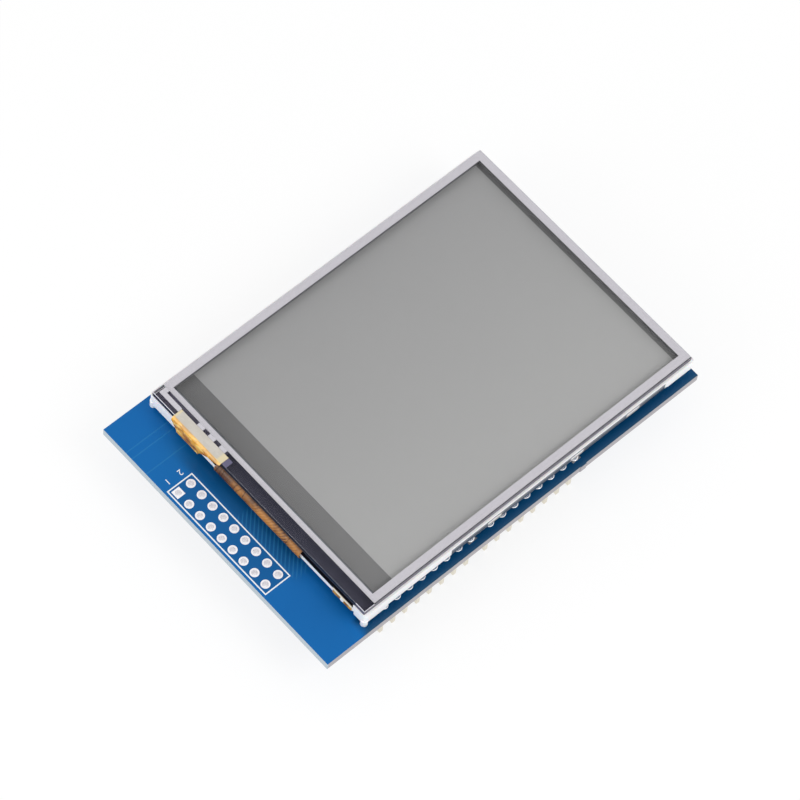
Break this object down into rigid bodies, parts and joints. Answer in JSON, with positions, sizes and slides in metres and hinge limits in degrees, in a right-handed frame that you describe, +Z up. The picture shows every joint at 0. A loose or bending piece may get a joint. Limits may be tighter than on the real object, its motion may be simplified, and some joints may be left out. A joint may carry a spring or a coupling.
{
  "type": "tft display module",
  "caption": "Flat colour display with a resistive touch panel, mounted on a plug-in circuit board with header pins, an expansion grid and a memory card socket.",
  "frame": {"origin": "bottom centre of the bounding box: under the middle of the circuit board, at the height of the header pins' tips", "axes": "+X along the board's long side, from the end with the flexes and the expansion grid towards the card slot; +Y across the board; +Z up, out of the touch surface"},
  "size_m": [0.0776, 0.0526, 0.0143],
  "materials": {
    "circuit_board": "glossy blue solder mask",
    "tinned_copper": "tinned, bright",
    "header_plastic": "matt black, moulded",
    "header_pin": "thinly plated, bright",
    "solder": "bright solder",
    "foam_tape": "soft white foam",
    "tray_steel": "smooth rolled",
    "white_plastic": "white, moulded",
    "white_film": "white film",
    "clear_plastic": "clear, polished",
    "polyimide": "amber film, glossy",
    "led_package": "white with yellow phosphor",
    "prism_film": "fine prisms",
    "polariser": "grey film, faint anti-glare grain",
    "display_glass": "thin display glass",
    "silicon": "polished",
    "black_tape": "matt black",
    "touch_glass": "clear, ground edges",
    "silver_print": "printed silver paste, satin",
    "touch_film": "clear hard-coated film",
    "socket_plastic": "matt black, moulded",
    "gold_contact": "gold plated",
    "shell_steel": "pressed sheet",
    "chip_plastic": "matt black, moulded",
    "tinned_lead": "tinned",
    "capacitor_ceramic": "fired ceramic",
    "resistor_ceramic": "black glaze"
  },
  "bodies": {
    "root": {"circuit_board": "circuit_board", "expansion_eyelets": "tinned_copper", "header_low_insulator": "header_plastic", "header_low_pins": "header_pin", "header_low_joints": "solder", "header_high_insulator": "header_plastic", "header_high_pins": "header_pin", "header_high_joints": "solder", "header_power_insulator": "header_plastic", "header_power_pins": "header_pin", "header_power_joints": "solder", "header_analog_insulator": "header_plastic", "header_analog_pins": "header_pin", "header_analog_joints": "solder", "mounting_foam": "foam_tape", "back_tray": "tray_steel", "light_frame": "white_plastic", "reflector_sheet": "white_film", "light_guide": "clear_plastic", "led_flex": "polyimide", "backlight_leds": "led_package", "diffuser_sheet": "white_film", "lower_prism_sheet": "prism_film", "upper_prism_sheet": "prism_film", "rear_polariser": "polariser", "transistor_glass": "display_glass", "colour_filter_glass": "display_glass", "front_polariser": "polariser", "driver_chip": "silicon", "display_flex": "polyimide", "ledge_tape": "black_tape", "panel_gasket": "black_tape", "touch_glass": "touch_glass", "touch_spacer": "black_tape", "silver_border": "silver_print", "touch_film": "touch_film", "touch_tail": "polyimide", "card_socket_base": "socket_plastic", "card_socket_contacts": "gold_contact", "card_socket_shell": "shell_steel", "level_shifter_bodies": "chip_plastic", "level_shifter_leads": "tinned_lead", "regulator_body": "chip_plastic", "regulator_leads": "tinned_lead", "transistor_body": "chip_plastic", "transistor_leads": "tinned_lead", "capacitor_bodies": "capacitor_ceramic", "capacitor_ends": "tinned_lead", "resistor_bodies": "resistor_ceramic", "resistor_ends": "tinned_lead"}
  },
  "joints": []
}
